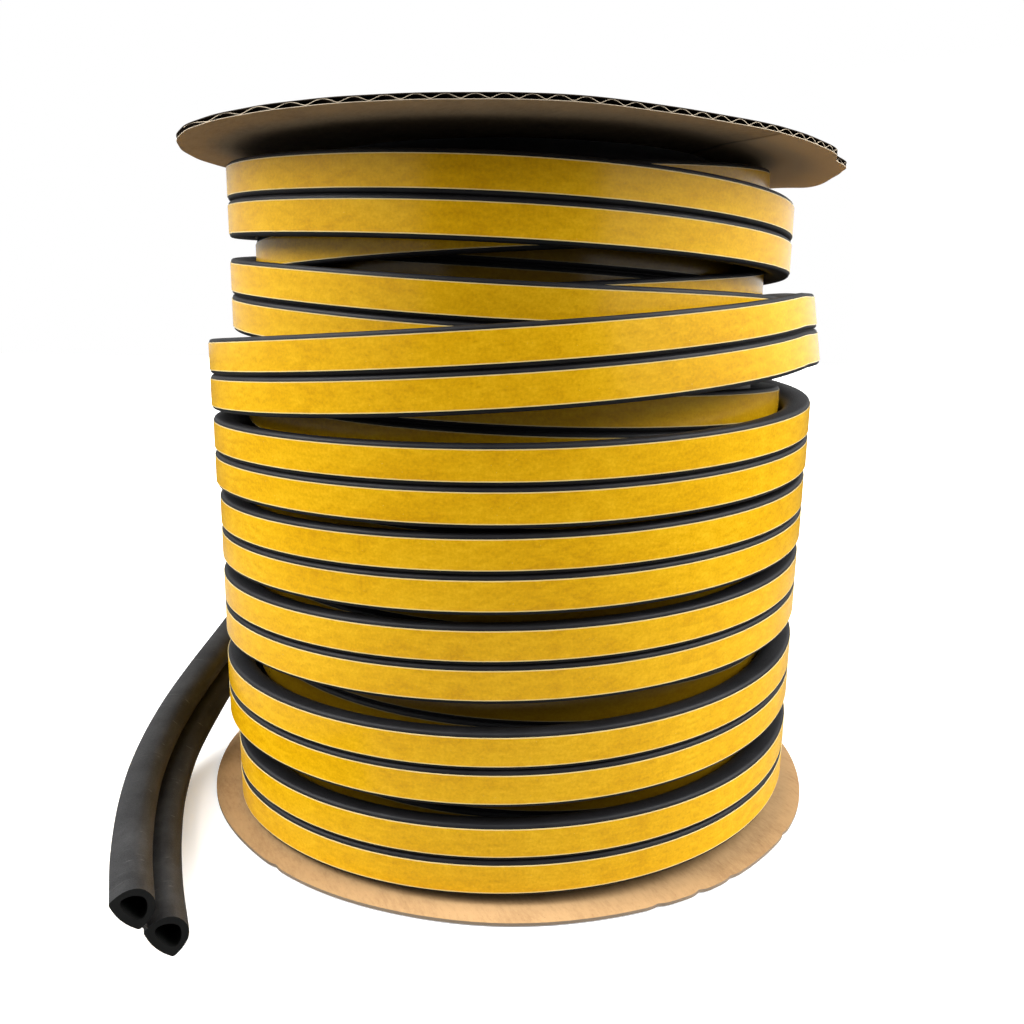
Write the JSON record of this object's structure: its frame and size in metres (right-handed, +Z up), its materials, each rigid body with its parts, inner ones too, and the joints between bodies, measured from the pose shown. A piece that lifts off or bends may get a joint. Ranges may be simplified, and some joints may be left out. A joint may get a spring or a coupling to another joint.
{
  "type": "self-adhesive rubber seal",
  "caption": "Twin D-profile self-adhesive rubber seal strip with release liner, wound on an upright corrugated cardboard reel with a loose end.",
  "frame": {"origin": "centre of the reel's underside, on the surface that it stands on", "axes": "+Z up along the reel's axis, -Y towards the side the picture shows"},
  "size_m": [0.2979, 0.3151, 0.2756],
  "materials": {
    "cardboard": "matte kraft board",
    "rubber": "satin",
    "liner": "glossy waxed paper"
  },
  "bodies": {
    "root": {"flange_bottom": "cardboard", "flange_top": "cardboard", "core_tube": "cardboard", "inner_winding": "rubber", "upper_turns": "rubber", "wound_turns": "rubber", "loose_end": "rubber", "upper_liner_upper": "liner", "upper_liner_lower": "liner", "wound_liner_upper": "liner", "wound_liner_lower": "liner", "loose_liner_upper": "liner", "loose_liner_lower": "liner"}
  },
  "joints": []
}
